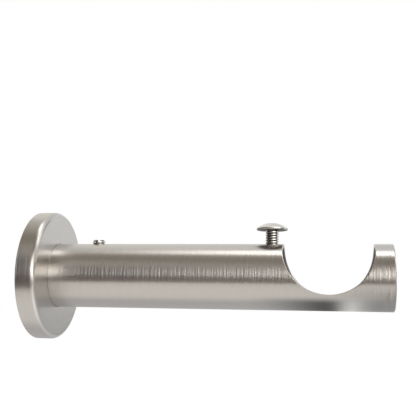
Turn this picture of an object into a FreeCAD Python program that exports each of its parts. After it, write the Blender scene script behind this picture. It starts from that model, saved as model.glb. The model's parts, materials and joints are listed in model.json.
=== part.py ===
"""Wall bracket for a round curtain pole, in millimetres.

The arm is a thin-walled tube that stands out of the wall along +X. Near its tip a half-round cup
is cut through it from above, and the pole lies in the cup along Y. The origin is the centre of
the wall face, and +Z is up.
"""

import FreeCAD, Part
import Sketcher
import math
import os

SIZES = {
    # tube
    "tube_dia": 22.0,
    "tube_wall": 1.2,
    # pole cup: its centre from the wall, its height over the tube's axis, and the land left beyond it
    "pole_projection": 100.0,
    "cup_dia": 29.5,
    "cup_rise": 9.0,
    "tip_land": 6.1,
    # rose
    "rose_dia": 44.0,
    "rose_depth": 6.5,
    "rose_wall": 1.2,
    "rose_edge_radius": 1.75,
    "rose_lip_chamfer": 0.25,
    "rose_fit": 0.03,
    "neck_gap": 0.3,
    # wall plate: it fills the rose but for a clearance, and its holes keep their distance to its edge
    "plate_rose_clearance": 0.8,
    "plate_thickness": 2.5,
    "wall_hole_dia": 4.5,
    "wall_hole_edge": 5.4,
    "wall_countersink_dia": 8.4,
    # spigot
    "spigot_fit": 0.1,
    "spigot_nose": 11.4,
    "spigot_chamfer": 1.2,
    "groove_clearance": 0.1,
    # screw that holds the spigot on the plate
    "spigot_screw_dia": 5.0,
    "spigot_screw_length": 14.0,
    "spigot_screw_head_dia": 9.2,
    "spigot_screw_sink": 0.15,
    "spigot_screw_fit": 0.05,
    "plate_hole_clearance": 0.15,
    "spigot_bore_spare": 2.0,
    # end cap
    "cap_rim": 2.0,
    "cap_fit": 0.05,
    "cap_edge_chamfer": 0.3,
    "cap_cup_clearance": 0.75,
    # the two screws on top of the tube have one thread
    "thread_dia": 4.4,
    "thread_fit": 0.05,
    "screw_hole_chamfer": 0.25,
    # clamp screw
    "clamp_head_dia": 10.5,
    "clamp_head_height": 2.5,
    "clamp_head_rim": 0.55,
    "clamp_head_overlap": 1.25,
    "clamp_head_lift": 4.65,
    "clamp_thread_length": 10.0,
    "screw_tip_chamfer": 0.5,
    # lock screw
    "lock_screw_place": 20.6,
    "lock_screw_length": 4.0,
    "lock_screw_stand": 1.3,
    "lock_point_dia": 1.2,
    "lock_slot_width": 0.8,
    "lock_slot_depth": 0.9,
    "lock_top_chamfer": 0.3,
    "lock_screw_turn": 19.0,
    # cross recesses
    "recess_wing_length": 4.6,
    "recess_wing_width": 0.95,
    "recess_depth": 1.9,
    "recess_taper": 9.0,
}

doc = FreeCAD.newDocument("curtain_pole_bracket")


def write_sheet():
    """Put every driving size in the sheet, its name beside it."""
    sheet = doc.addObject("Spreadsheet::Sheet", "Sizes")
    for row, (alias, number) in enumerate(SIZES.items(), start=1):
        sheet.set(f"A{row}", alias)
        sheet.set(f"B{row}", str(number))
        sheet.setAlias(f"B{row}", alias)
    doc.recompute()


class Size:
    """A size with its present value and the sheet expression that gives it."""

    def __init__(self, value, text):
        self.value = value
        self.text = text

    def __add__(self, other):
        other = as_size(other)
        return Size(self.value + other.value, f"({self.text} + {other.text})")

    def __sub__(self, other):
        other = as_size(other)
        return Size(self.value - other.value, f"({self.text} - {other.text})")

    def __mul__(self, other):
        other = as_size(other)
        return Size(self.value * other.value, f"({self.text} * {other.text})")

    def __truediv__(self, other):
        other = as_size(other)
        return Size(self.value / other.value, f"({self.text} / {other.text})")

    def __neg__(self):
        return Size(-self.value, f"(0 - {self.text})")


def as_size(number):
    return number if isinstance(number, Size) else Size(float(number), str(number))


def sheet_size(alias):
    return Size(SIZES[alias], f"Sizes.{alias}")


def square_root(size):
    return Size(math.sqrt(size.value), f"sqrt({size.text})")


write_sheet()
(
    tube_dia, tube_wall,
    pole_projection, cup_dia, cup_rise, tip_land,
    rose_dia, rose_depth, rose_wall, rose_edge_radius, rose_lip_chamfer, rose_fit, neck_gap,
    plate_rose_clearance, plate_thickness, wall_hole_dia, wall_hole_edge, wall_countersink_dia,
    spigot_fit, spigot_nose, spigot_chamfer, groove_clearance,
    spigot_screw_dia, spigot_screw_length, spigot_screw_head_dia, spigot_screw_sink,
    spigot_screw_fit, plate_hole_clearance, spigot_bore_spare,
    cap_rim, cap_fit, cap_edge_chamfer, cap_cup_clearance,
    thread_dia, thread_fit, screw_hole_chamfer,
    clamp_head_dia, clamp_head_height, clamp_head_rim, clamp_head_overlap, clamp_head_lift,
    clamp_thread_length, screw_tip_chamfer,
    lock_screw_place, lock_screw_length, lock_screw_stand, lock_point_dia,
    lock_slot_width, lock_slot_depth, lock_top_chamfer, lock_screw_turn,
    recess_wing_length, recess_wing_width, recess_depth, recess_taper,
) = [sheet_size(alias) for alias in SIZES]

# sizes worked out from the driving ones
zero = as_size(0)
tube_radius = tube_dia / 2
bore_radius = tube_radius - tube_wall
cup_radius = cup_dia / 2
thread_radius = thread_dia / 2
plate_radius = rose_dia / 2 - rose_wall - plate_rose_clearance
wall_hole_place = plate_radius - wall_hole_edge
cup_drop = tube_radius - cup_rise
cup_half_mouth = square_root(cup_radius * cup_radius - cup_drop * cup_drop)
arm_reach = pole_projection + cup_half_mouth + tip_land
clamp_screw_place = pole_projection - cup_half_mouth - clamp_head_dia / 2 + clamp_head_overlap
tube_length = arm_reach - cap_rim - plate_thickness


def new_body(name, placement=(zero, zero, zero)):
    """A body of its own for one piece, placed by the sheet."""
    body = doc.addObject("PartDesign::Body", name)
    body.Label = name
    for letter, size in zip("xyz", placement):
        body.setExpression(f"Placement.Base.{letter}", size.text)
    return body


def new_sketch(body, name, plane, offset=zero):
    """A sketch on one of the body's own planes, moved along the plane's normal by the offset."""
    sketch = body.newObject("Sketcher::SketchObject", f"{body.Name}_{name}")
    features = body.Origin.OriginFeatures
    sketch.AttachmentSupport = next(f for f in features if f.Role == plane), ""
    sketch.MapMode = "FlatFace"
    sketch.AttachmentOffset = FreeCAD.Placement(
        FreeCAD.Vector(0, 0, offset.value), FreeCAD.Rotation()
    )
    if offset is not zero:
        sketch.setExpression("AttachmentOffset.Base.z", offset.text)
    return sketch


def bind_last(sketch, size):
    """Tie the sketch's newest constraint to the sheet."""
    sketch.setExpression(f"Constraints[{sketch.ConstraintCount - 1}]", size.text)


def hold_point(sketch, element, point, across, up):
    """Fix one point of an element at its two sheet distances from the sketch's origin."""
    sketch.addConstraint(
        Sketcher.Constraint("DistanceX", -1, 1, element, point, across.value)
    )
    bind_last(sketch, across)
    sketch.addConstraint(
        Sketcher.Constraint("DistanceY", -1, 1, element, point, up.value)
    )
    bind_last(sketch, up)


def arc_between(start, end, radius, bulge):
    """Short arc between two corners that bulges to the left (1) or the right (-1) of the way from
    start to end. It is always drawn anticlockwise."""
    way = end - start
    left = FreeCAD.Vector(-way.y, way.x, 0) / way.Length
    to_centre = math.sqrt(max(radius**2 - (way.Length / 2) ** 2, 0.0))
    centre = (start + end) / 2 - left * (bulge * to_centre)
    first, last = (end, start) if bulge > 0 else (start, end)
    first_angle = math.atan2(first.y - centre.y, first.x - centre.x)
    last_angle = math.atan2(last.y - centre.y, last.x - centre.x)
    if last_angle < first_angle:
        last_angle += 2 * math.pi
    full = Part.Circle(centre, FreeCAD.Vector(0, 0, 1), radius)
    return Part.ArcOfCircle(full, first_angle, last_angle)


def closed_outline(sketch, corners, arcs={}):
    """Draw a closed outline through the corners. An arc leaves the corner whose number it is
    listed under, with its radius and the side that it bulges to."""
    points = [FreeCAD.Vector(across.value, up.value, 0) for across, up in corners]
    count = len(corners)
    ends = []
    for i, point in enumerate(points):
        following = points[(i + 1) % count]
        radius, bulge = arcs.get(i, (zero, 0))
        if bulge:
            sketch.addGeometry(arc_between(point, following, radius.value, bulge))
        else:
            sketch.addGeometry(Part.LineSegment(point, following))
        ends.append((2, 1) if bulge > 0 else (1, 2))
    for i, (across, up) in enumerate(corners):
        here, there = ends[i][0], ends[i - 1][1]
        hold_point(sketch, i, here, across, up)
        sketch.addConstraint(
            Sketcher.Constraint("Coincident", (i - 1) % count, there, i, here)
        )
    for i, (radius, _) in arcs.items():
        sketch.addConstraint(Sketcher.Constraint("Radius", i, radius.value))
        bind_last(sketch, radius)


def circle(sketch, radius, across=zero, up=zero):
    element = sketch.addGeometry(
        Part.Circle(
            FreeCAD.Vector(across.value, up.value, 0), FreeCAD.Vector(0, 0, 1), radius.value
        )
    )
    hold_point(sketch, element, 3, across, up)
    sketch.addConstraint(Sketcher.Constraint("Radius", element, radius.value))
    bind_last(sketch, radius)


def turned(body, name, corners, arcs={}, axis="H_Axis"):
    """Turn an outline in the XZ plane about the arm's axis (H) or about the vertical (V)."""
    sketch = new_sketch(body, f"{name}_outline", "XZ_Plane")
    closed_outline(sketch, corners, arcs)
    feature = body.newObject("PartDesign::Revolution", f"{body.Name}_{name}")
    feature.Profile = sketch
    feature.ReferenceAxis = (sketch, [axis])
    feature.Angle = 360
    doc.recompute()
    return feature


def cut(body, name, sketch, depth=None, upwards=False, both_ways=False, taper=None):
    """Cut a sketch away, to a depth or right through, and make sure that it took something."""
    before = body.Shape.Volume
    feature = body.newObject("PartDesign::Pocket", f"{body.Name}_{name}")
    feature.Profile = sketch
    feature.Type = "ThroughAll" if depth is None else "Length"
    if depth is not None:
        feature.setExpression("Length", depth.text)
    if taper is not None:
        feature.setExpression("TaperAngle", (-taper).text)
    feature.Reversed = upwards
    feature.Midplane = both_ways
    doc.recompute()
    if body.Shape.Volume > before - 1e-3:
        raise RuntimeError(f"{feature.Name} cuts nothing")
    return feature


def chamfered(body, name, base, edges, size):
    feature = body.newObject("PartDesign::Chamfer", f"{body.Name}_{name}")
    feature.Base = (base, edges)
    feature.setExpression("Size", size.text)
    doc.recompute()
    return feature


def edges_where(shape, wanted):
    return [f"Edge{i}" for i, edge in enumerate(shape.Edges, start=1) if wanted(edge)]


def cross_recess(body, plane, top, inwards_is_up=False):
    """Tapered cross in the top of a screw head, for a screwdriver."""
    half_length = recess_wing_length / 2
    half_width = recess_wing_width / 2
    sketch = new_sketch(body, "recess_outline", plane, top)
    corners = []
    for along, aside in ((1, 1), (-1, 1), (-1, -1), (1, -1)):
        wing_end = (half_length * along, half_width * aside)
        inner = (half_width * along, half_width * aside)
        wing_side = (half_width * along, half_length * aside)
        quarter = [wing_end, inner, wing_side]
        corners += quarter if along == aside else quarter[::-1]
    closed_outline(sketch, corners)
    cut(body, "recess", sketch, depth=recess_depth, upwards=inwards_is_up, taper=recess_taper)


def make_rose():
    """Hollow cap with a rounded front edge and a neck drawn inwards round the tube."""
    body = new_body("rose")
    outer = rose_dia / 2
    hole = tube_radius + rose_fit
    edge_height = outer - rose_edge_radius
    edge_start = rose_depth - rose_edge_radius
    inner_face = rose_depth - rose_wall
    neck_start = plate_thickness + neck_gap
    turned(
        body,
        "shell",
        [
            (zero, outer),
            (edge_start, outer),
            (rose_depth, edge_height),
            (rose_depth, hole + rose_lip_chamfer),
            (rose_depth - rose_lip_chamfer, hole),
            (neck_start, hole),
            (neck_start, hole + rose_wall),
            (inner_face, hole + rose_wall),
            (inner_face, edge_height),
            (edge_start, outer - rose_wall),
            (zero, outer - rose_wall),
        ],
        arcs={1: (rose_edge_radius, 1)},
    )
    return body


def make_wall_plate():
    """Disc behind the rose, with countersunk holes for two wall screws, one above the other,
    and for the screw that holds the spigot."""
    body = new_body("wall_plate")
    head = spigot_screw_head_dia / 2 + spigot_screw_sink + spigot_screw_fit
    clearance = spigot_screw_dia / 2 + plate_hole_clearance
    turned(
        body,
        "disc",
        [
            (zero, head),
            (zero, plate_radius),
            (plate_thickness, plate_radius),
            (plate_thickness, clearance),
            (head - clearance, clearance),
        ],
    )
    sketch = new_sketch(body, "wall_holes", "YZ_Plane", plate_thickness)
    circle(sketch, wall_hole_dia / 2, up=wall_hole_place)
    circle(sketch, wall_hole_dia / 2, up=-wall_hole_place)
    doc.recompute()
    before = body.Shape.Volume
    hole = body.newObject("PartDesign::Hole", "wall_plate_holes")
    hole.Profile = sketch
    hole.ThreadType = "None"
    hole.DepthType = "ThroughAll"
    hole.HoleCutType = "Countersink"
    hole.HoleCutCustomValues = True
    hole.HoleCutCountersinkAngle = 90
    hole.setExpression("Diameter", wall_hole_dia.text)
    hole.setExpression("HoleCutDiameter", wall_countersink_dia.text)
    doc.recompute()
    if body.Shape.Volume > before - 1:
        raise RuntimeError("the wall screw holes cut nothing")
    return body


def make_spigot():
    """Turned plug inside the tube. It has a V groove for the lock screw's point and a blind bore."""
    body = new_body("spigot", (plate_thickness, zero, zero))
    radius = bore_radius - spigot_fit
    length = lock_screw_place - plate_thickness + spigot_nose
    bore = spigot_screw_dia / 2 + spigot_screw_fit
    bore_depth = spigot_screw_length - plate_thickness + spigot_bore_spare
    groove = lock_screw_place - plate_thickness
    groove_radius = tube_radius + lock_screw_stand - lock_screw_length
    groove_floor = lock_point_dia / 2 + groove_clearance
    groove_mouth = groove_floor + radius - groove_radius
    turned(
        body,
        "plug",
        [
            (zero, bore),
            (zero, radius),
            (groove - groove_mouth, radius),
            (groove - groove_floor, groove_radius),
            (groove + groove_floor, groove_radius),
            (groove + groove_mouth, radius),
            (length - spigot_chamfer, radius),
            (length, radius - spigot_chamfer),
            (length, zero),
            (bore_depth, zero),
            (bore_depth, bore),
        ],
    )
    return body


def make_spigot_screw():
    """Countersunk screw from behind the plate into the spigot."""
    body = new_body("spigot_screw", (spigot_screw_sink, zero, zero))
    head = spigot_screw_head_dia / 2
    radius = spigot_screw_dia / 2
    turned(
        body,
        "shank",
        [
            (zero, zero),
            (zero, head),
            (head - radius, radius),
            (spigot_screw_length - screw_tip_chamfer, radius),
            (spigot_screw_length, radius - screw_tip_chamfer),
            (spigot_screw_length, zero),
        ],
    )
    cross_recess(body, "YZ_Plane", zero, inwards_is_up=True)
    return body


def make_arm_tube():
    """Thin-walled tube with the pole cup cut through it and two screw holes on top."""
    body = new_body("arm_tube", (plate_thickness, zero, zero))
    turned(
        body,
        "wall",
        [
            (zero, bore_radius),
            (zero, tube_radius),
            (tube_length, tube_radius),
            (tube_length, bore_radius),
        ],
    )
    cup = new_sketch(body, "cup_outline", "XZ_Plane")
    circle(cup, cup_radius, across=pole_projection - plate_thickness, up=cup_rise)
    cut(body, "cup", cup, both_ways=True)
    holes = new_sketch(body, "screw_hole_outlines", "XY_Plane")
    hole_radius = thread_radius + thread_fit
    circle(holes, hole_radius, across=lock_screw_place - plate_thickness)
    circle(holes, hole_radius, across=clamp_screw_place - plate_thickness)
    drilled = cut(body, "screw_holes", holes, upwards=True)
    rims = edges_where(
        body.Shape,
        lambda edge: edge.BoundBox.DiagonalLength < hole_radius.value * 3
        and edge.BoundBox.XLength > hole_radius.value
        and edge.CenterOfMass.z > bore_radius.value + tube_wall.value / 2,
    )
    chamfered(body, "hole_rims", drilled, rims, screw_hole_chamfer)
    return body


def make_end_cap():
    """Plug with a rim as wide as the tube. Its inner end stops short of the pole."""
    body = new_body("end_cap", (arm_reach, zero, zero))
    plug_radius = bore_radius - cap_fit
    plug_length = tip_land - cap_rim - cup_radius + cup_half_mouth - cap_cup_clearance
    inner_end = -(cap_rim + plug_length)
    turned(
        body,
        "plug",
        [
            (inner_end, zero),
            (inner_end, plug_radius),
            (-cap_rim, plug_radius),
            (-cap_rim, tube_radius),
            (-cap_edge_chamfer, tube_radius),
            (zero, tube_radius - cap_edge_chamfer),
            (zero, zero),
        ],
    )
    return body


def make_clamp_screw():
    """Screw beside the cup, with a shallow dome that reaches over the cup's edge."""
    body = new_body("clamp_screw", (clamp_screw_place, zero, tube_radius + clamp_head_lift))
    head = clamp_head_dia / 2
    crown = clamp_head_height - clamp_head_rim
    dome_radius = (head * head + crown * crown) / (crown * 2)
    turned(
        body,
        "head_and_shank",
        [
            (zero, -clamp_thread_length),
            (thread_radius - screw_tip_chamfer, -clamp_thread_length),
            (thread_radius, screw_tip_chamfer - clamp_thread_length),
            (thread_radius, zero),
            (head, zero),
            (head, clamp_head_rim),
            (zero, clamp_head_height),
        ],
        arcs={5: (dome_radius, -1)},
        axis="V_Axis",
    )
    cross_recess(body, "XY_Plane", clamp_head_height)
    return body


def make_lock_screw():
    """Slotted grub screw whose cone point sits in the spigot's groove, its slot a little askew."""
    tip = tube_radius + lock_screw_stand - lock_screw_length
    body = new_body("lock_screw", (lock_screw_place, zero, tip))
    turn = FreeCAD.Rotation(FreeCAD.Vector(0, 0, 1), lock_screw_turn.value)
    body.Placement = FreeCAD.Placement(body.Placement.Base, turn)
    body.setExpression("Placement.Rotation.Angle", f"{lock_screw_turn.text} * 1 deg")
    point = lock_point_dia / 2
    turned(
        body,
        "stem",
        [
            (zero, zero),
            (point, zero),
            (thread_radius, thread_radius - point),
            (thread_radius, lock_screw_length - lock_top_chamfer),
            (thread_radius - lock_top_chamfer, lock_screw_length),
            (zero, lock_screw_length),
        ],
        axis="V_Axis",
    )
    slot = new_sketch(body, "slot_outline", "XY_Plane", lock_screw_length)
    half_width = lock_slot_width / 2
    closed_outline(
        slot,
        [
            (-half_width, -thread_dia),
            (half_width, -thread_dia),
            (half_width, thread_dia),
            (-half_width, thread_dia),
        ],
    )
    cut(body, "slot", slot, depth=lock_slot_depth)
    return body


def check_and_write(bodies):
    doc.recompute()
    for thing in doc.Objects:
        if "Invalid" in thing.State or "Error" in thing.State:
            raise RuntimeError(f"{thing.Name} did not build: {thing.State}")
    for body in bodies:
        if body.Shape.isNull() or not body.Shape.isValid() or len(body.Shape.Solids) != 1:
            raise RuntimeError(f"{body.Label} is not one sound solid")
    os.makedirs("parts", exist_ok=True)
    for body in bodies:
        body.Shape.exportStep(f"parts/{body.Label}.step")
        print(f"{body.Label}: {body.Shape.Volume:.1f} mm3, {len(body.Shape.Faces)} faces")


check_and_write(
    [
        make_rose(),
        make_wall_plate(),
        make_spigot(),
        make_spigot_screw(),
        make_arm_tube(),
        make_end_cap(),
        make_clamp_screw(),
        make_lock_screw(),
    ]
)
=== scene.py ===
"""Looks of the curtain pole bracket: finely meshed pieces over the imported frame, brushed nickel,
a pale floor and soft studio light. Lengths are in metres, +X runs along the arm and +Z is up."""

import json
import math

import bmesh
import bpy
from mathutils import Matrix, Vector


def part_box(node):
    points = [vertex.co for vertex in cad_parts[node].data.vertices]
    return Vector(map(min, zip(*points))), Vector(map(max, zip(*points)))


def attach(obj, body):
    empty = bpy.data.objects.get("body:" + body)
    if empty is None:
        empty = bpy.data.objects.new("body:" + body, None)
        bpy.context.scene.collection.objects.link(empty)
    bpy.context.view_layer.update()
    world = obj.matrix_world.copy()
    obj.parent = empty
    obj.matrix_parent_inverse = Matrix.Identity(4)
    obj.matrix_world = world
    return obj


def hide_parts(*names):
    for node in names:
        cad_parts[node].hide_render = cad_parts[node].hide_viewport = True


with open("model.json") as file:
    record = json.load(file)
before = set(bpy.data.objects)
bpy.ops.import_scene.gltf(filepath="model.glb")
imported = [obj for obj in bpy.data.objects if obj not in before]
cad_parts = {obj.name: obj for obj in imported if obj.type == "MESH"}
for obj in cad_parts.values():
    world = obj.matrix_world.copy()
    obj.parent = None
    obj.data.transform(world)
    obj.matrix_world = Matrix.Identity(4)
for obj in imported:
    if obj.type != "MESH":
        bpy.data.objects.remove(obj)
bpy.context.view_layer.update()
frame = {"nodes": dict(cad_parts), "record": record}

MM = 0.001
WELD_DISTANCE = 0.001 * MM

# steps of the round pieces, of the threads and of the tube's sheets
ROUND_STEPS = 256
SCREW_STEPS = 96
THREAD_ROWS_PER_TURN = 18
EDGE_ROWS, BELLY_ROWS = 72, 40
RIM_COLUMNS, LONG_COLUMNS, SHORT_COLUMNS = 6, 48, 12


# sizes, read from the frame where it holds them
mounts = {mount["name"]: mount for mount in frame["record"]["mounts"]}


def corners_of(node):
    """Lowest and highest corner of a node at rest."""
    low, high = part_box(node)
    return Vector(low), Vector(high)


tube_low, tube_high = corners_of("arm_tube")
tube_start, tube_end, tube_radius = tube_low.x, tube_high.x, tube_high.y
tube_wall = 1.2 * MM
bore_radius = tube_radius - tube_wall
tip_round = 0.03 * MM
cup_centre = Vector(mounts["pole_cup"]["pos_m"])
cup_radius = mounts["pole_cup"]["dims"]["r_mm"] * MM
cup_edge_round = 0.24 * MM
# share of the cut face that each of its rounded edges takes at most
cup_most_trim = 0.3

rose_high = corners_of("rose")[1]
rose_radius, rose_depth = rose_high.y, rose_high.x
rose_wall = 1.2 * MM
rose_fit = 0.03 * MM
rose_edge_round = 1.75 * MM
rose_back_round = 0.12 * MM
rose_hole_round = 0.22 * MM
rose_over_plate = 0.3 * MM
rose_neck_start = corners_of("wall_plate")[1].x + rose_over_plate

cap_low, cap_high = corners_of("end_cap")
cap_fit = 0.05 * MM
cap_plug_radius = bore_radius - cap_fit
cap_plug_round = 0.1 * MM
cap_bevel = 0.3 * MM
cap_bevel_round = 0.15 * MM

clamp_low, clamp_high = corners_of("clamp_screw")
clamp_place = (clamp_low.x + clamp_high.x) / 2
clamp_head_radius = (clamp_high.x - clamp_low.x) / 2
clamp_head_height = 2.5 * MM
clamp_head_base = clamp_high.z - clamp_head_height
clamp_head_rim = 0.55 * MM
clamp_rim_under_round = 0.3 * MM
clamp_rim_over_round = 0.2 * MM
clamp_shoulder_rise, clamp_shoulder_inset = 0.5 * MM, 0.7 * MM
clamp_dome_inset = 0.35 * MM
clamp_end_round = 0.5 * MM
recess_half_length = 2.3 * MM
recess_half_width = 0.475 * MM
recess_depth = 1.9 * MM
recess_taper = math.radians(9)

lock_low, lock_high = corners_of("lock_screw")
lock_place = (lock_low.x + lock_high.x) / 2
lock_point_radius = 0.6 * MM
lock_bottom_round = 0.4 * MM
lock_top_round = 0.3 * MM
slot_half_width = 0.4 * MM
slot_reach = 3 * MM
slot_depth = 0.9 * MM
slot_turn = math.radians(19)

thread_radius = (lock_high.x - lock_low.x) / 2
thread_pitch = 0.84 * MM
thread_depth = 0.5 * MM
screw_hole_radius = thread_radius + 0.05 * MM
screw_hole_bevel = 0.3 * MM


# mesh helpers
def new_piece(name, vertices, faces, material_of_face=None):
    """An object from points and faces, smooth, with the material number of each face."""
    mesh = bpy.data.meshes.new(name)
    mesh.from_pydata([tuple(v) for v in vertices], [], faces)
    mesh.polygons.foreach_set("use_smooth", [True] * len(mesh.polygons))
    if material_of_face:
        mesh.polygons.foreach_set("material_index", material_of_face)
    mesh.update()
    piece = bpy.data.objects.new(name, mesh)
    bpy.context.scene.collection.objects.link(piece)
    return piece


def weld(piece):
    """Join points that lie together, and turn all faces outwards."""
    work = bmesh.new()
    work.from_mesh(piece.data)
    bmesh.ops.remove_doubles(work, verts=work.verts, dist=WELD_DISTANCE)
    bmesh.ops.recalc_face_normals(work, faces=work.faces)
    work.to_mesh(piece.data)
    work.free()
    piece.data.update()


def settle(piece):
    """Write the result of the piece's modifiers into its mesh."""
    bpy.context.view_layer.update()
    seen = piece.evaluated_get(bpy.context.evaluated_depsgraph_get())
    mesh = bpy.data.meshes.new_from_object(seen)
    piece.modifiers.clear()
    old = piece.data
    piece.data = mesh
    bpy.data.meshes.remove(old)


def cut_away(piece, cutter):
    """Take the cutter out of the piece for good."""
    change = piece.modifiers.new("cut", "BOOLEAN")
    change.operation = "DIFFERENCE"
    change.solver = "EXACT"
    change.object = cutter
    settle(piece)
    bpy.data.objects.remove(cutter)


def even_shading(piece):
    """Let the large faces keep their true direction beside narrow rounded edges."""
    change = piece.modifiers.new("even_shading", "WEIGHTED_NORMAL")
    change.mode = "FACE_AREA"
    change.weight = 100
    change.keep_sharp = False


def second_material_where(piece, test):
    """Give the second material to the faces whose direction passes the test."""
    for face in piece.data.polygons:
        if test(face.normal):
            face.material_index = 1


def faces_the_tip(direction):
    """Whether a face looks straight along the arm, away from the wall."""
    return direction.x > 0.98


def faces_down(direction):
    """Whether a face looks down."""
    return direction.z < -0.9


def rounded(corners, closed=False, steps=5):
    """Outline through corners given as (along, out, rounding), with an arc at each rounded one."""
    points = []
    count = len(corners)
    for i, (along, out, rounding) in enumerate(corners):
        here = Vector((along, out))
        at_end = not closed and i in (0, count - 1)
        if not rounding or at_end:
            points.append(here)
            continue
        before = (Vector(corners[i - 1][:2]) - here).normalized()
        after = (Vector(corners[(i + 1) % count][:2]) - here).normalized()
        half = before.angle(after) / 2
        reach = rounding / math.tan(half)
        centre = here + (before + after).normalized() * (rounding / math.sin(half))
        first = here + before * reach - centre
        last = here + after * reach - centre
        turn = first.angle_signed(last)
        for k in range(steps + 1):
            points.append(centre + Matrix.Rotation(-turn * k / steps, 2) @ first)
    return points


def turned_point(axis, along, out, angle):
    """Point at a distance along the X or Z axis, out from it and turned round it."""
    if axis == "X":
        return Vector((along, out * math.cos(angle), out * math.sin(angle)))
    return Vector((out * math.cos(angle), out * math.sin(angle), along))


def lathe(name, outline, axis="X", steps=ROUND_STEPS, centre=(0, 0, 0), closed=False):
    """Turn an outline of (along, out) points about an axis. Points at the axis close it."""
    nearly_nothing = 1e-9
    middle = Vector(centre)
    vertices, rings = [], []
    for along, out in outline:
        count = 1 if out < nearly_nothing else steps
        rings.append(range(len(vertices), len(vertices) + count))
        for k in range(count):
            vertices.append(middle + turned_point(axis, along, out, 2 * math.pi * k / steps))
    pairs = list(zip(rings, rings[1:]))
    if closed:
        pairs.append((rings[-1], rings[0]))
    faces = []
    for here, there in pairs:
        for k in range(steps):
            j = (k + 1) % steps
            if len(here) == 1:
                faces.append((here[0], there[j], there[k]))
            elif len(there) == 1:
                faces.append((here[k], here[j], there[0]))
            else:
                faces.append((here[k], here[j], there[j], there[k]))
    piece = new_piece(name, vertices, faces)
    weld(piece)
    return piece


def prism(name, bottom, top):
    """Closed solid between two outlines with as many points."""
    count = len(bottom)
    faces = [tuple(range(count))[::-1], tuple(range(count, 2 * count))]
    faces += [(k, (k + 1) % count, (k + 1) % count + count, k + count) for k in range(count)]
    piece = new_piece(name, bottom + top, faces)
    weld(piece)
    return piece


def joined(name, pieces):
    """One object out of several."""
    vertices, faces, kinds = [], [], []
    for piece in pieces:
        first = len(vertices)
        vertices += [piece.matrix_world @ v.co for v in piece.data.vertices]
        faces += [tuple(first + i for i in face.vertices) for face in piece.data.polygons]
        kinds += [face.material_index for face in piece.data.polygons]
    for piece in pieces:
        bpy.data.objects.remove(piece)
    return new_piece(name, vertices, faces, kinds)


def mixed(a, b, share):
    """Number or point between two others."""
    return a + (b - a) * share


def bend(start, corner, end, steps):
    """Short curve that rounds a corner off."""
    line = []
    for k in range(steps + 1):
        t = k / steps
        line.append(start * (1 - t) ** 2 + corner * (2 * t * (1 - t)) + end * t**2)
    return line


def piece_of_sheets(name, sheets):
    """One piece out of sheets, each given as its rows of points and its material number."""
    vertices, faces, kinds = [], [], []
    for rows, kind in sheets:
        first, width = len(vertices), len(rows[0])
        for row in rows:
            vertices.extend(row)
        for i in range(len(rows) - 1):
            for corner in range(first + i * width, first + (i + 1) * width - 1):
                faces.append((corner, corner + 1, corner + width + 1, corner + width))
                kinds.append(kind)
    piece = new_piece(name, vertices, faces, kinds)
    weld(piece)
    return piece


# the arm's tube, drawn quarter by quarter round the cup
class CupEdge:
    """Where the cup's cutter meets one round wall of the tube, from the cup's floor to its mouth."""

    def __init__(self, wall_radius):
        self.radius = wall_radius
        self.mouth = math.acos((cup_centre.z - wall_radius) / cup_radius)

    def cutter_angle(self, share):
        """Angle round the cutter, from straight down."""
        return self.mouth * math.sin(math.pi / 2 * share)

    def slope(self, share):
        """Angle round the tube of the edge, from the horizontal."""
        z = cup_centre.z - cup_radius * math.cos(self.cutter_angle(share))
        return math.asin(max(-1.0, min(1.0, z / self.radius)))

    def point(self, share, side_x, side_y):
        """Place of the sharp edge itself."""
        reach = cup_radius * math.sin(self.cutter_angle(share))
        return wall_point(self, cup_centre.x + side_x * reach, self.slope(share), side_y)

    def set_back(self, share):
        """Distance from the cup's middle and angle round the tube of the line beside the edge."""
        cutter, slope = self.cutter_angle(share), self.slope(share)
        out, down = math.sin(cutter), math.cos(cutter) * math.cos(slope)
        scale = cup_edge_round / math.hypot(out, down)
        return cup_radius * math.sin(cutter) + out * scale, slope - down * scale / self.radius

    def set_back_point(self, share, side_x, side_y):
        """Place beside the edge where its rounding starts."""
        reach, slope = self.set_back(share)
        return wall_point(self, cup_centre.x + side_x * reach, slope, side_y)

    def belly(self):
        """Angles round the tube from under the cup to the tube's lowest line."""
        lowest = self.set_back(0)[1]
        return [mixed(lowest, -math.pi / 2, i / BELLY_ROWS) for i in range(BELLY_ROWS + 1)]


def wall_point(wall, x, slope, side_y):
    """Point on one of the tube's round walls."""
    return Vector((x, side_y * wall.radius * math.cos(slope), wall.radius * math.sin(slope)))


def wall_row(wall, near, end, columns, slope, side_y):
    """Points along the tube on one of its walls."""
    return [wall_point(wall, mixed(near, end, j / columns), slope, side_y) for j in range(columns + 1)]


def wall_sheets(wall, tip, side_y):
    """Sheets of a round wall on one side of the tube: beside the cup and under it, both ways."""
    sheets = []
    for side_x, end, columns in ((-1, tube_start, LONG_COLUMNS), (1, tip, SHORT_COLUMNS)):
        beside = []
        for i in range(EDGE_ROWS + 1):
            reach, slope = wall.set_back(i / EDGE_ROWS)
            near = cup_centre.x + side_x * reach
            beside.append(wall_row(wall, near, end, columns, slope, side_y))
        under = [wall_row(wall, cup_centre.x, end, columns, slope, side_y) for slope in wall.belly()]
        sheets += [beside, under]
    return sheets


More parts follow.
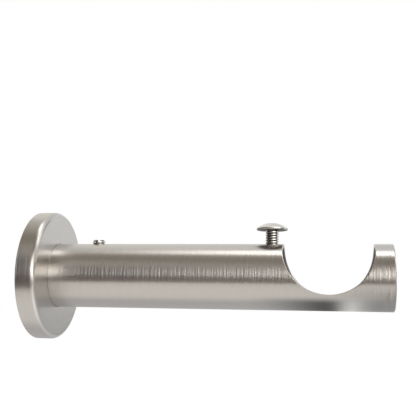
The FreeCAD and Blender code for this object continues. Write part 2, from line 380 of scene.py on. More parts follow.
def rim_sheets(outer, inner, side_x, side_y):
    """The cup's cut through the tube's wall in one quarter, and the rounding of its two edges."""
    steps, shortest = 4, 1e-6
    band, outer_round, inner_round = [], [], []
    for i in range(EDGE_ROWS + 1):
        share = i / EDGE_ROWS
        edge_out = outer.point(share, side_x, side_y)
        edge_in = inner.point(share, side_x, side_y)
        trim = min(cup_edge_round / max((edge_out - edge_in).length, shortest), cup_most_trim)
        row = []
        for j in range(RIM_COLUMNS + 1):
            across = mixed(trim, 1 - trim, j / RIM_COLUMNS)
            cutter = mixed(outer.cutter_angle(share), inner.cutter_angle(share), across)
            row.append(Vector((
                cup_centre.x + side_x * cup_radius * math.sin(cutter),
                mixed(edge_out.y, edge_in.y, across),
                cup_centre.z - cup_radius * math.cos(cutter),
            )))
        band.append(row)
        outer_start = outer.set_back_point(share, side_x, side_y)
        inner_start = inner.set_back_point(share, side_x, side_y)
        outer_round.append(bend(outer_start, edge_out, row[0], steps))
        inner_round.append(bend(inner_start, edge_in, row[-1], steps))
    return [band, outer_round, inner_round]


def end_slopes(wall):
    """Angles round the tube from beside the cup's mouth down to the lowest line."""
    return [wall.set_back(i / EDGE_ROWS)[1] for i in range(EDGE_ROWS, 0, -1)] + wall.belly()


def end_sheet(outer, inner, x, rounding, side_y):
    """One side of the ring that closes the tube between its walls, with its outer edge rounded."""
    steps = 3
    rows = []
    for slope_out, slope_in in zip(end_slopes(outer), end_slopes(inner)):
        edge = [wall_point(outer, x, slope_out, side_y)]
        if rounding:
            corner = edge[0]
            start = wall_point(outer, x - rounding, slope_out, side_y)
            radius = outer.radius - rounding
            end = Vector((x, side_y * radius * math.cos(slope_out), radius * math.sin(slope_out)))
            edge = bend(start, corner, end, steps)
        rows.append(edge + [wall_point(inner, x, slope_in, side_y)])
    return rows


def drill_screw_hole(piece, place):
    """Hole with a bevelled mouth through the top of the tube."""
    over = 1 * MM
    cutter = lathe("screw_hole", [
        (0, 0),
        (0, screw_hole_radius),
        (tube_radius - screw_hole_bevel, screw_hole_radius),
        (tube_radius + over, screw_hole_radius + screw_hole_bevel + over),
        (tube_radius + over, 0),
    ], axis="Z", steps=SCREW_STEPS, centre=(place, 0, 0))
    cut_away(piece, cutter)


def make_arm_tube():
    """Thin-walled tube with the pole cup cut through it and two screw holes. Its bore is dull."""
    outer, inner = CupEdge(tube_radius), CupEdge(bore_radius)
    sheets = []
    for side_y in (1, -1):
        sheets += [(sheet, 0) for sheet in wall_sheets(outer, tube_end - tip_round, side_y)]
        sheets += [(sheet, 1) for sheet in wall_sheets(inner, tube_end, side_y)]
        for side_x in (-1, 1):
            sheets += [(sheet, 0) for sheet in rim_sheets(outer, inner, side_x, side_y)]
    for side_y in (1, -1):
        for x, rounding in ((tube_start, 0), (tube_end, tip_round)):
            sheets.append((end_sheet(outer, inner, x, rounding, side_y), 0))
    piece = piece_of_sheets("arm_tube_fine", sheets)
    for place in (lock_place, clamp_place):
        drill_screw_hole(piece, place)
    even_shading(piece)
    return piece


# the rose, the end cap and the screws
def make_rose():
    """Hollow cap with a rounded front edge and a neck round the tube. Its front is spun."""
    inner_face = rose_depth - rose_wall
    hole = tube_radius + rose_fit
    outline = rounded([
        (0, rose_radius, rose_back_round),
        (rose_depth, rose_radius, rose_edge_round),
        (rose_depth, hole, rose_hole_round),
        (rose_neck_start, hole, 0),
        (rose_neck_start, hole + rose_wall, 0),
        (inner_face, hole + rose_wall, 0),
        (inner_face, rose_radius - rose_edge_round, 0),
        (rose_depth - rose_edge_round, rose_radius - rose_wall, 0),
        (0, rose_radius - rose_wall, rose_back_round),
    ], closed=True, steps=8)
    piece = lathe("rose_fine", outline, closed=True)
    second_material_where(piece, faces_the_tip)
    even_shading(piece)
    return piece


def make_end_cap():
    """Plug with a rim as wide as the tube. Its face is spun."""
    outline = rounded([
        (cap_low.x, 0, 0),
        (cap_low.x, cap_plug_radius, cap_plug_round),
        (tube_end, cap_plug_radius, 0),
        (tube_end, tube_radius, tip_round),
        (cap_high.x - cap_bevel, tube_radius, cap_bevel_round),
        (cap_high.x, tube_radius - cap_bevel, cap_bevel_round),
        (cap_high.x, 0, 0),
    ])
    piece = lathe("end_cap_fine", outline)
    second_material_where(piece, faces_the_tip)
    even_shading(piece)
    return piece


def thread_height(turns):
    """Share of the thread's depth at a place along it: narrow root, straight flank, wider crest."""
    root, flank = 0.1, 0.5
    place = abs(turns % 1.0 - 0.5) * 2
    return max(0.0, min(1.0, (place - root) / flank))


def threaded_shank(name, centre, low, high, bottom_round, top_round):
    """Closed rod with a right-hand thread, tapered where it starts and ends. Its root faces take the
    second material, a painted shade.
    """
    shaded_up_to = 0.3
    steps = SCREW_STEPS
    rows = int((high - low) / thread_pitch * THREAD_ROWS_PER_TURN)
    vertices = []
    for i in range(rows + 1):
        z = low + (high - low) * i / rows
        for k in range(steps):
            angle = 2 * math.pi * k / steps
            crest = thread_height(z / thread_pitch - k / steps)
            radius = thread_radius - thread_depth * (1 - crest)
            radius = min(radius, thread_radius - bottom_round + (z - low))
            radius = min(radius, thread_radius - top_round + (high - z))
            vertices.append((centre.x + radius * math.cos(angle),
                             centre.y + radius * math.sin(angle), z))
    faces, kinds = [], []
    for i in range(rows):
        z = low + (high - low) * (i + 0.5) / rows
        here, there = i * steps, (i + 1) * steps
        for k in range(steps):
            j = (k + 1) % steps
            faces.append((here + k, here + j, there + j, there + k))
            crest = thread_height(z / thread_pitch - (k + 0.5) / steps)
            # the thread's root faces get the painted shade material
            kinds.append(1 if crest < shaded_up_to else 0)
    faces.append(tuple(range(steps))[::-1])
    faces.append(tuple(rows * steps + k for k in range(steps)))
    return new_piece(name, vertices, faces, kinds + [0, 0])


def cross_outline(centre, z, half_length, half_width):
    """Corners of a cross with four equal arms."""
    points = []
    for quarter in range(4):
        turn = Matrix.Rotation(math.pi / 2 * quarter, 3, "Z")
        for x, y in ((half_width, half_width), (half_width, half_length), (-half_width, half_length)):
            points.append(Vector((centre.x, centre.y, z)) + turn @ Vector((x, y, 0)))
    return points


def dome_line(top, dome_radius, last_angle):
    """Outline of a dome, from its rim up to its top."""
    steps = 14
    points = []
    for k in range(steps + 1):
        angle = last_angle * (1 - k / steps)
        points.append(Vector((top - dome_radius * (1 - math.cos(angle)), dome_radius * math.sin(angle))))
    return points


def make_clamp_head(place):
    """Low dome over a thin rim, with a painted shade underneath from its second material, and a tapered
    cross recess.
    """
    base, top = clamp_head_base, clamp_high.z
    rim_top = base + clamp_head_rim
    crown = clamp_head_height - clamp_head_rim
    dome_radius = (clamp_head_radius**2 + crown**2) / (2 * crown)
    rim = rounded([
        (base, thread_radius - thread_depth, 0),
        (base, clamp_head_radius, clamp_rim_under_round),
        (rim_top, clamp_head_radius, clamp_rim_over_round),
        (rim_top + clamp_shoulder_rise, clamp_head_radius - clamp_shoulder_inset, 0),
    ], steps=4)[:-1]
    last_angle = math.asin((clamp_head_radius - clamp_dome_inset) / dome_radius)
    outline = [Vector((base, 0))] + rim + dome_line(top, dome_radius, last_angle)
    head = lathe("clamp_head", outline, axis="Z", steps=SCREW_STEPS, centre=place)
    # the head's underside gets the painted shade material
    second_material_where(head, faces_down)
    above = 0.4 * MM
    narrowing = recess_depth * math.tan(recess_taper)
    flare = above * math.tan(recess_taper)
    cutter = prism(
        "cross_recess",
        cross_outline(place, top - recess_depth, recess_half_length - narrowing,
                      recess_half_width - narrowing),
        cross_outline(place, top + above, recess_half_length + flare, recess_half_width + flare),
    )
    cut_away(head, cutter)
    return head


def make_clamp_screw():
    """Domed head on a threaded shank."""
    place = Vector((clamp_place, 0, 0))
    into_head = 0.1 * MM
    head = make_clamp_head(place)
    shank = threaded_shank("clamp_thread", place, clamp_low.z, clamp_head_base + into_head,
                           clamp_end_round, 0)
    piece = joined("clamp_screw_fine", [head, shank])
    even_shading(piece)
    return piece


def make_lock_screw():
    """Slotted grub screw with a cone point."""
    place = Vector((lock_place, 0, 0))
    cone_top = lock_low.z + thread_radius - lock_point_radius
    shank = threaded_shank("lock_thread", place, cone_top - lock_bottom_round, lock_high.z,
                           lock_bottom_round, lock_top_round)
    turn = Matrix.Rotation(slot_turn, 3, "Z")
    corners = [(-slot_half_width, -slot_reach), (slot_half_width, -slot_reach),
               (slot_half_width, slot_reach), (-slot_half_width, slot_reach)]
    bottom, top = (
        [place + turn @ Vector((x, y, z)) for x, y in corners]
        for z in (lock_high.z - slot_depth, lock_high.z + slot_depth)
    )
    cut_away(shank, prism("slot", bottom, top))
    cone = lathe("lock_point", [
        (lock_low.z, 0),
        (lock_low.z, lock_point_radius),
        (cone_top, thread_radius - lock_top_round),
        (cone_top, 0),
    ], axis="Z", steps=SCREW_STEPS, centre=place)
    piece = joined("lock_screw_fine", [shank, cone])
    even_shading(piece)
    return piece


# materials
class Nodes:
    """Short way to write a node tree."""

    def __init__(self, tree):
        self.tree = tree
        tree.nodes.clear()

    def fill(self, socket, value):
        """Link another node to the socket, or set the socket's number or colour."""
        if isinstance(value, bpy.types.NodeSocket):
            self.tree.links.new(value, socket)
        elif isinstance(value, tuple):
            socket.default_value = (*value, 1.0)
        else:
            socket.default_value = value

    def add(self, kind, inputs=None, **settings):
        """New node with its settings, and its inputs by name or number."""
        node = self.tree.nodes.new(kind)
        for name, value in settings.items():
            setattr(node, name, value)
        for name, value in (inputs or {}).items():
            self.fill(node.inputs[name], value)
        return node

    def math(self, operation, *values):
        """Result of one step of arithmetic."""
        return self.add("ShaderNodeMath", dict(enumerate(values)), operation=operation).outputs[0]

    def product(self, first, *others):
        """The first value times each of the others."""
        for other in others:
            first = self.math("MULTIPLY", first, other)
        return first

    def distance(self, value, middle):
        """How far a value lies from a middle."""
        return self.math("ABSOLUTE", self.math("SUBTRACT", value, middle))

    def spread(self, value, low, high, to_low, to_high):
        """Number that goes from to_low to to_high while the value goes from low to high."""
        return self.add("ShaderNodeMapRange", {
            "Value": value, "From Min": low, "From Max": high, "To Min": to_low, "To Max": to_high,
        }).outputs["Result"]

    def ramp(self, value, low, high, stops):
        """Colour at a share of the way from low to high, from stops of (place, colour)."""
        node = self.add("ShaderNodeValToRGB", {"Fac": value})
        elements = node.color_ramp.elements
        while len(elements) < len(stops):
            elements.new(1.0)
        for element, (place, colour) in zip(elements, stops):
            element.position = (place - low) / (high - low)
            element.color = (*colour, 1.0)
        return node.outputs["Color"]

    def mix_number(self, share, first, second):
        """Number between two others."""
        return self.add("ShaderNodeMix", {0: share, 2: first, 3: second}, data_type="FLOAT").outputs[0]

    def mix_colour(self, share, first, second):
        """Colour between two others."""
        return self.add("ShaderNodeMix", {0: share, 6: first, 7: second}, data_type="RGBA").outputs[2]

    def place(self):
        """Place on the piece, in the CAD frame."""
        return self.add("ShaderNodeTexCoord").outputs["Object"]

    def geometry(self, name):
        """Something that the mesh itself says, such as its normal."""
        return self.add("ShaderNodeNewGeometry").outputs[name]

    def parts(self, vector):
        """X, Y and Z of a vector."""
        return self.add("ShaderNodeSeparateXYZ", {"Vector": vector}).outputs

    def red(self, colour):
        """Red of a colour, used as a number that differs from cell to cell."""
        return self.add("ShaderNodeSeparateColor", {"Color": colour}).outputs["Red"]

    def bump(self, strength, depth, height):
        """Normal of a surface with small heights on it."""
        return self.add("ShaderNodeBump", {
            "Strength": strength, "Distance": depth, "Height": height,
        }).outputs["Normal"]

    def finish(self, shader):
        """Join a shader to the material's output."""
        self.add("ShaderNodeOutputMaterial", {"Surface": shader.outputs[0]})

    def finish_metal(self, colour, roughness, normal, more=None):
        """Metal with this colour, roughness and normal, joined to the output."""
        self.finish(self.add("ShaderNodeBsdfPrincipled", {
            "Base Color": colour, "Metallic": 1.0, "Roughness": roughness, "Normal": normal,
            **(more or {}),
        }))


def new_material(name):
    """An empty material and its nodes."""
    material = bpy.data.materials.new(name)
    material.use_nodes = True
    return material, Nodes(material.node_tree)


def around_arm(nodes, per_metre, per_turn):
    """Noise place that runs round the arm's axis: fine across a brush stroke, long along it."""
    parts = nodes.parts(nodes.place())
    radius = nodes.math("SQRT", nodes.math(
        "ADD", nodes.product(parts["Y"], parts["Y"]), nodes.product(parts["Z"], parts["Z"])))
    safe = nodes.math("MAXIMUM", radius, 1e-5)
    vector = nodes.add("ShaderNodeCombineXYZ", {
        "X": nodes.product(parts["X"], per_metre),
        "Y": nodes.product(nodes.math("DIVIDE", parts["Y"], safe), per_turn),
        "Z": nodes.product(nodes.math("DIVIDE", parts["Z"], safe), per_turn),
    }).outputs["Vector"]
    return vector, nodes.product(radius, per_metre)


def brush_noise(nodes, per_metre, per_turn, detail):
    """Noise of brush strokes that run round the arm's axis."""
    vector, depth = around_arm(nodes, per_metre, per_turn)
    return nodes.add("ShaderNodeTexNoise", {
        "Vector": vector, "W": depth, "Scale": 1.0, "Detail": detail, "Roughness": 0.6,
    }, noise_dimensions="4D").outputs["Fac"]


def patch_noise(nodes, per_metre, detail=2.0):
    """Noise that is the same in all directions."""
    return nodes.add("ShaderNodeTexNoise", {
        "Vector": nodes.place(), "Scale": per_metre, "Detail": detail, "Roughness": 0.5,
    }).outputs["Fac"]


def cells(nodes, per_metre):
    """Cells of random shape and colour."""
    return nodes.add("ShaderNodeTexVoronoi", {
        "Vector": nodes.place(), "Scale": per_metre,
    }, feature="F1").outputs


def rare_specks(nodes):
    """Share of dark specks: a small dot in a few of the cells."""
    cell = cells(nodes, 210.0)
    dot = nodes.math("LESS_THAN", cell["Distance"], 0.045)
    rare = nodes.math("GREATER_THAN", nodes.red(cell["Color"]), 0.86)
    return nodes.product(dot, rare, 0.6)


def painted_edge_highlight(nodes, facing):
    """Share of painted highlight on the rose's rounded edge, a light colour where a reflection runs:
    most below the tube, less at the bottom.
    """
    along = nodes.parts(nodes.place())["X"]
    return nodes.product(
        nodes.spread(facing["X"], 0.38, 0.65, 0.0, 1.0),
        nodes.spread(facing["X"], 0.8, 0.96, 1.0, 0.0),
        nodes.spread(along, rose_depth + 0.1 * MM, rose_depth + 0.3 * MM, 1.0, 0.0),
        nodes.spread(facing["Z"], -0.15, 0.1, 1.0, 0.0),
        nodes.spread(facing["Z"], -0.7, -0.4, 0.3, 1.0),
    )


def brushed_nickel(name, gloss_stretch, grain, edge_wear_and_sheen):
    """Satin nickel, brushed round the arm and in circles on the rose, most on the sides. Sharp edges are
    lighter, partly wear and partly painted highlight, and the rose's rounded edge has a painted
    highlight.
    """
    material, nodes = new_material(name)
    fine = brush_noise(nodes, 5200, 1.5, 3.0)
    strokes = brush_noise(nodes, 1600, 1.3, 2.5)
    facing = nodes.parts(nodes.geometry("Normal"))
    tone = nodes.spread(strokes, 0.32, 0.68, 0.0, 1.0)
    patches = nodes.spread(patch_noise(nodes, 90), 0.3, 0.7, 0.0, 0.6)
    # lighter sharp edges: partly wear from brushing, partly painted highlight along the rims
    worn_and_lit_edges = nodes.spread(nodes.geometry("Pointiness"), 0.53, 0.6, 0.0, edge_wear_and_sheen)
    colour = nodes.mix_colour(tone, (0.615, 0.597, 0.572), (0.655, 0.637, 0.612))
    colour = nodes.mix_colour(patches, colour, (0.625, 0.612, 0.594))
    colour = nodes.mix_colour(rare_specks(nodes), colour, (0.16, 0.13, 0.1))
    colour = nodes.mix_colour(worn_and_lit_edges, colour, (0.78, 0.765, 0.74))
    # painted highlight: near-white colour on the rose's rounded edge
    colour = nodes.mix_colour(painted_edge_highlight(nodes, facing), colour, (0.93, 0.915, 0.89))
    roughness = nodes.math("ADD", nodes.spread(strokes, 0.3, 0.7, 0.28, 0.31),
                           nodes.spread(fine, 0.3, 0.7, -0.01, 0.01))
    off_side = nodes.math("ABSOLUTE", facing["Z"])
    height = nodes.math("ADD", nodes.product(strokes, 2.0), nodes.product(fine, 0.3))
    normal = nodes.bump(nodes.spread(off_side, 0.38, 0.6, 1.0, 0.24), grain, height)
    tangent = nodes.add("ShaderNodeTangent", direction_type="RADIAL", axis="X").outputs["Tangent"]
    nodes.finish_metal(colour, roughness, normal, {
        "Anisotropic": gloss_stretch, "Anisotropic Rotation": 0.25, "Tangent": tangent,
    })
    return material


def bore_metal():
    """Dull inside of the tube, with small marks all over."""
    material, nodes = new_material("bore_metal")
    marks = patch_noise(nodes, 400, detail=5.0)
    tone = nodes.spread(marks, 0.3, 0.7, 0.0, 1.0)
    colour = nodes.mix_colour(tone, (0.52, 0.505, 0.48), (0.64, 0.62, 0.59))
    nodes.finish_metal(colour, nodes.spread(marks, 0.3, 0.7, 0.42, 0.58),
                       nodes.bump(0.3, 0.01 * MM, marks))
    return material


def bright_nickel():
    """Polished plate of the two screws, with faint handling marks and painted shade in its hollows."""
    material, nodes = new_material("bright_nickel")
    marks = patch_noise(nodes, 1400, detail=4.0)
    clouds = nodes.spread(patch_noise(nodes, 500), 0.35, 0.65, 0.0, 1.0)
    hollow_shade = nodes.spread(nodes.geometry("Pointiness"), 0.4, 0.48, 1.0, 0.0)
    colour = nodes.mix_colour(clouds, (0.76, 0.75, 0.725), (0.85, 0.84, 0.815))
    # painted shade: dark colour where the surface is hollow
    colour = nodes.mix_colour(nodes.product(hollow_shade, 0.6), colour, (0.25, 0.23, 0.2))
    nodes.finish_metal(colour, nodes.spread(marks, 0.3, 0.7, 0.11, 0.22),
                       nodes.bump(0.2, 0.006 * MM, marks))
    return material


def painted_root_shade():
    """Painted shade of the screws: dark, mottled metal for the bottom of the threads and the underside
    of the clamp head.
    """
    material, nodes = new_material("painted_root_shade")
    root_shade_mottle = patch_noise(nodes, 2600, detail=4.0)
    tone = nodes.spread(root_shade_mottle, 0.35, 0.65, 0.0, 1.0)
    # painted shade: dark colours that stand for the shade in the thread roots and under the head
    colour = nodes.mix_colour(tone, (0.13, 0.12, 0.105), (0.29, 0.27, 0.245))
    nodes.finish_metal(colour, nodes.spread(root_shade_mottle, 0.3, 0.7, 0.4, 0.6),
                       nodes.bump(0.3, 0.01 * MM, root_shade_mottle))
    return material


def zinc_steel():
    """Zinc-plated steel of the hidden fixings, with the plating's faint spangle."""
    material, nodes = new_material("zinc_steel")
    spangle = nodes.red(cells(nodes, 900.0)["Color"])
    clouds = patch_noise(nodes, 160, detail=3.0)
    colour = nodes.mix_colour(spangle, (0.6, 0.615, 0.63), (0.7, 0.71, 0.715))
    colour = nodes.mix_colour(nodes.spread(clouds, 0.35, 0.7, 0.0, 0.5), colour, (0.62, 0.6, 0.53))
    nodes.finish_metal(colour, nodes.spread(clouds, 0.3, 0.7, 0.3, 0.45),
                       nodes.bump(0.25, 0.01 * MM, spangle))
    return material


# the floor, and the two cards that only reflections show
FLOOR_HEIGHT = -0.06
CARD_HEIGHT = FLOOR_HEIGHT + 0.0005
FLAG_HEIGHT = -0.016

# colour of the card by the distance behind the arm, which is less than nothing before it
CARD = [
    (-0.165, (0.2, 0.165, 0.145)),
    (-0.147, (0.23, 0.19, 0.17)),
    (-0.126, (0.76, 0.72, 0.68)),
    (-0.06, (0.83, 0.8, 0.75)),
    (-0.016, (0.82, 0.785, 0.745)),
    (0.002, (0.575, 0.555, 0.55)),
    (0.1, (0.54, 0.54, 0.54)),
    (0.3, (0.45, 0.45, 0.45)),
]

# grey of the flag by the distance along the arm, from before the pole cup to the tip
FLAG = [
    (0.074, 0.5), (0.083, 0.44), (0.089, 0.3), (0.094, 0.19), (0.098, 0.12), (0.1015, 0.16),
    (0.1045, 0.6), (0.1075, 0.88), (0.111, 0.55), (0.115, 0.38), (0.126, 0.42),
]


def plane(name, low_x, high_x, low_y, high_y, z):
    """Level rectangle that is part of the stage."""
    corners = [(low_x, low_y, z), (high_x, low_y, z), (high_x, high_y, z), (low_x, high_y, z)]
    piece = new_piece(name, corners, [(0, 1, 2, 3)])
    return piece


def only_in_reflections(piece):
    """Hide a piece from the camera and from matt surfaces, and let it cast no shadow."""
    piece.visible_camera = False
    piece.visible_diffuse = False
    piece.visible_shadow = False


def make_floor():
    """White floor, which keeps the object's shadow."""
    floor = plane("floor", -6.0, 6.0, -6.0, 6.0, FLOOR_HEIGHT)
    material, nodes = new_material("pale_floor")
    nodes.finish(nodes.add("ShaderNodeBsdfDiffuse", {"Color": (1.0, 1.0, 1.0)}))
    floor.data.materials.append(material)


def make_card():
    """Grey and dark cards laid on the floor, lighter beside a window. Only reflections show them."""
    card = plane("card", -3.0, 3.0, -4.0, 4.0, CARD_HEIGHT)
    material, nodes = new_material("card")
    parts = nodes.parts(nodes.place())
    x, y = parts["X"], parts["Y"]
    low, high = CARD[0][0], CARD[-1][0]
    before_rose = nodes.spread(x, -0.075, -0.045, -0.022, 0.0)
    share = nodes.spread(nodes.math("ADD", y, before_rose), low, high, 0.0, 1.0)
    colour = nodes.ramp(share, low, high, CARD)
    behind = nodes.math("MINIMUM", nodes.spread(y, 0.0, 0.04, 0.0, 1.0),
                        nodes.spread(y, 0.15, 0.35, 1.0, 0.0))
    beside_window = nodes.product(nodes.spread(x, 0.13, 0.2, 0.0, 1.0), behind)
    colour = nodes.mix_colour(beside_window, colour, (0.75, 0.74, 0.72))
    front_window = nodes.product(nodes.spread(x, 0.22, 0.36, 0.0, 1.0),
                                 nodes.spread(y, -0.35, -0.22, 1.0, 0.0))
    colour = nodes.mix_colour(front_window, colour, (1.7, 1.65, 1.6))
    left_shade = nodes.spread(x, -0.14, -0.06, 0.35, 1.0)
    tip_level = nodes.mix_number(nodes.spread(y, -0.15, -0.11, 1.0, 0.0),
                                 nodes.spread(y, -0.09, -0.03, 0.9, 0.45), 1.1)
    at_tip = nodes.product(nodes.spread(x, 0.108, 0.122, 0.0, 1.0),
                           nodes.spread(y, 0.05, 0.08, 1.0, 0.0))
    level = nodes.product(nodes.mix_number(at_tip, 1.0, tip_level), left_shade)
    nodes.finish(nodes.add("ShaderNodeEmission", {"Color": colour, "Strength": level}))
    card.data.materials.append(material)
    only_in_reflections(card)


def make_flag():
    """Small dark flag with a light stripe, close under the pole cup. Only reflections show it."""
    flag = plane("flag", 0.07, 0.13, -0.018, 0.03, FLAG_HEIGHT)
    material, nodes = new_material("flag")
    parts = nodes.parts(nodes.place())
    low, high = FLAG[0][0], FLAG[-1][0]
    share = nodes.spread(parts["X"], low, high, 0.0, 1.0)
    grey = nodes.ramp(share, low, high, [(x, (value,) * 3) for x, value in FLAG])
    cover = nodes.product(nodes.spread(parts["Y"], -0.012, -0.006, 0.0, 1.0),
                          nodes.spread(parts["X"], 0.072, 0.082, 0.0, 1.0))
    glow = nodes.add("ShaderNodeEmission", {"Color": grey, "Strength": 1.0})
    clear = nodes.add("ShaderNodeBsdfTransparent")
    nodes.finish(nodes.add("ShaderNodeMixShader", {0: cover, 1: clear.outputs[0], 2: glow.outputs[0]}))
    flag.data.materials.append(material)
    only_in_reflections(flag)


# colour of the room by the height round the arm's axis in degrees, from the horizon before it,
# over it, to the horizon behind it. The functions below it take a way, which is the direction
# of a look into the room, one metre long.
ROOM_LEFT = [
    (0, (0.18, 0.15, 0.13)),
    (6, (0.3, 0.27, 0.25)),
    (14, (0.53, 0.5, 0.46)),
    (24, (0.49, 0.465, 0.425)),
    (38, (0.5, 0.47, 0.41)),
    (48, (0.43, 0.38, 0.32)),
    (56, (0.27, 0.235, 0.19)),
    (70, (0.26, 0.225, 0.18)),
    (84, (0.38, 0.34, 0.28)),
    (94, (0.5, 0.47, 0.42)),
    (108, (0.8, 0.77, 0.7)),
    (125, (0.87, 0.84, 0.77)),
    (150, (0.8, 0.79, 0.74)),
    (180, (1.08, 1.08, 1.08)),
]
ROOM_RIGHT = [
    (0, (0.44, 0.415, 0.385)),
    (9, (0.51, 0.49, 0.455)),
    (18, (0.54, 0.515, 0.485)),
    (27, (0.46, 0.43, 0.4)),
    (40, (0.27, 0.24, 0.22)),
    (56, (0.2, 0.18, 0.155)),
    (68, (0.225, 0.205, 0.16)),
    (80, (0.29, 0.27, 0.23)),
    (94, (0.8, 0.785, 0.76)),
    (125, (0.78, 0.77, 0.76)),
    (150, (0.73, 0.73, 0.72)),
    (180, (1.1, 1.1, 1.1)),
]


def room_turn(nodes, way):
    """Share of the half turn over the arm at a direction. The bands slant a little along the arm."""
    height = nodes.math("ARCTAN2", way["Z"], nodes.product(way["Y"], -1.0))
    slant = nodes.product(nodes.math("ADD", way["X"], 0.19), 0.5)
    slant = nodes.math("MINIMUM", nodes.math("MAXIMUM", slant, -0.1), 0.15)
    return nodes.math("DIVIDE", nodes.math("ADD", height, slant), math.pi)


def room_lights(nodes, way, degrees):
    """Light added to the room: a row of faint panes, and a window past the tip."""
    row = nodes.math("SINE", nodes.product(nodes.math("ADD", way["X"], 0.13), 7.0))
    panes = nodes.product(row, nodes.spread(nodes.distance(degrees, 14.0), 6.0, 18.0, 0.85, 0.0))
    window = nodes.product(
        nodes.spread(way["X"], 0.27, 0.36, 0.0, 5.4),
        nodes.spread(way["X"], 0.78, 0.9, 1.0, 0.0),
        nodes.spread(nodes.distance(way["Z"], 0.27), 0.2, 0.3, 1.0, 0.0),
        nodes.spread(way["Y"], 0.2, 0.5, 1.0, 0.0),
    )
    return panes, window


def room_shades(nodes, way, degrees):
    """Shares of light that darker places of the room take away."""
    corner = nodes.product(nodes.spread(way["X"], -0.41, -0.35, 0.92, 0.0),
                           nodes.spread(degrees, 12.0, 30.0, 1.0, 0.0))
    over_corner = nodes.product(nodes.spread(way["X"], -0.47, -0.38, 0.65, 0.0),
                                nodes.spread(degrees, 80.0, 90.0, 0.0, 1.0),
                                nodes.spread(degrees, 112.0, 124.0, 1.0, 0.0))
    left = nodes.product(nodes.spread(way["X"], -0.62, -0.44, 0.8, 0.0),
                         nodes.spread(way["Z"], 0.45, 0.7, 1.0, 0.0))
    right = nodes.product(nodes.spread(way["X"], 0.48, 0.58, 0.0, 0.75),
                          nodes.spread(way["Y"], 0.5, 0.62, 0.0, 1.0))
    end = nodes.product(nodes.spread(way["X"], 0.93, 0.98, 0.0, 0.65),
                        nodes.spread(way["Z"], 0.3, 0.5, 1.0, 0.0))
    beside_middle = nodes.math("MINIMUM",
                               nodes.spread(nodes.math("ABSOLUTE", way["X"]), 0.08, 0.16, 0.0, 1.0),
                               nodes.spread(way["X"], 0.27, 0.34, 1.0, 0.0))
    outline = nodes.product(nodes.spread(degrees, 164.0, 174.0, 0.0, 0.6), beside_middle)
    return corner, over_corner, left, right, end, outline


def make_world():
    """White to the camera and to the floor. Reflections show a soft room in long bands."""
    world = bpy.data.worlds.new("studio")
    bpy.context.scene.world = world
    world.use_nodes = True
    nodes = Nodes(world.node_tree)
    way = nodes.parts(nodes.add("ShaderNodeTexCoord").outputs["Generated"])
    turn = room_turn(nodes, way)
    degrees = nodes.product(turn, 180.0)
    left, right = nodes.ramp(turn, 0, 180, ROOM_LEFT), nodes.ramp(turn, 0, 180, ROOM_RIGHT)
    room = nodes.mix_colour(nodes.spread(way["X"], -0.33, -0.02, 0.0, 1.0), left, right)
    panes, window = room_lights(nodes, way, degrees)
    level = nodes.math("ADD", nodes.math("ADD", 1.0, panes), window)
    for shade in room_shades(nodes, way, degrees):
        level = nodes.product(level, nodes.math("SUBTRACT", 1.0, shade))
    room_light = nodes.add("ShaderNodeBackground", {"Color": room, "Strength": level})
    white_light = nodes.add("ShaderNodeBackground", {"Color": (1.0, 1.0, 1.0), "Strength": 1.0})
    in_reflection = nodes.add("ShaderNodeLightPath").outputs["Is Glossy Ray"]
    light = nodes.add("ShaderNodeMixShader", {
        0: in_reflection, 1: white_light.outputs[0], 2: room_light.outputs[0],
    })
    nodes.add("ShaderNodeOutputWorld", {"Surface": light.outputs[0]})


# the lamp and the camera
def make_softbox():
    """Long softbox over the arm, turned a little."""
    data = bpy.data.lights.new("softbox", "AREA")
    data.shape = "RECTANGLE"
    data.size, data.size_y = 0.9, 0.2
    data.energy = 1.05
    data.color = (1.0, 0.97, 0.92)
    softbox = bpy.data.objects.new("softbox", data)
    softbox.location = (0.39, -0.07, 0.6)
    softbox.rotation_euler = (0, 0, math.radians(-10))
    bpy.context.scene.collection.objects.link(softbox)


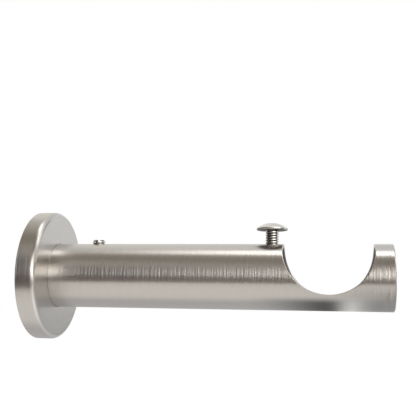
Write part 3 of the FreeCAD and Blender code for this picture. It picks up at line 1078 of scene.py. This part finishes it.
def make_camera():
    """Camera before the tip's end of the arm, turned to the left and up, as in the photo."""
    place = (0.1015, -0.23155, -0.00893)
    yaw, pitch, roll = (math.radians(degrees) for degrees in (10.38, 7.87, 0.89))
    ahead = Vector((-math.sin(yaw) * math.cos(pitch), math.cos(yaw) * math.cos(pitch),
                    math.sin(pitch)))
    level_right = ahead.cross(Vector((0, 0, 1))).normalized()
    level_up = level_right.cross(ahead)
    right = level_right * math.cos(roll) + level_up * math.sin(roll)
    up = level_up * math.cos(roll) - level_right * math.sin(roll)
    data = bpy.data.cameras.new("camera")
    data.sensor_width = 36.0
    data.lens = 59.92
    data.clip_start = 0.005
    camera = bpy.data.objects.new("camera", data)
    matrix = Matrix((right, up, -ahead)).transposed().to_4x4()
    matrix.translation = place
    camera.matrix_world = matrix
    bpy.context.scene.collection.objects.link(camera)
    bpy.context.scene.camera = camera


def finish_pieces():
    """Make the fine pieces in place of the frame's nodes, and plate the hidden nodes."""
    nickel = brushed_nickel("brushed_nickel", gloss_stretch=0.75, grain=0.072 * MM, edge_wear_and_sheen=1.0)
    spun_nickel = brushed_nickel("spun_nickel", gloss_stretch=0.0, grain=0.015 * MM, edge_wear_and_sheen=0.0)
    bore, zinc = bore_metal(), zinc_steel()
    bright, root = bright_nickel(), painted_root_shade()
    for make, node, body, slot, materials in (
        (make_rose, "rose", "bracket", "brushed_nickel", [nickel, spun_nickel]),
        (make_arm_tube, "arm_tube", "bracket", "brushed_nickel", [nickel, bore]),
        (make_end_cap, "end_cap", "bracket", "brushed_nickel", [nickel, spun_nickel]),
        (make_lock_screw, "lock_screw", "bracket", "nickel_screw", [bright, root]),
        (make_clamp_screw, "clamp_screw", "clamp", "nickel_screw", [bright, root]),
    ):
        piece = make()
        for material in materials:
            piece.data.materials.append(material)
        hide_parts(node)
        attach(piece, body)
    for node in ("wall_plate", "spigot", "spigot_screw"):
        data = frame["nodes"][node].data
        data.materials.clear()
        data.materials.append(zinc)


finish_pieces()
make_floor()
make_card()
make_flag()
make_world()
make_softbox()
make_camera()
bpy.context.scene.view_settings.view_transform = "Standard"
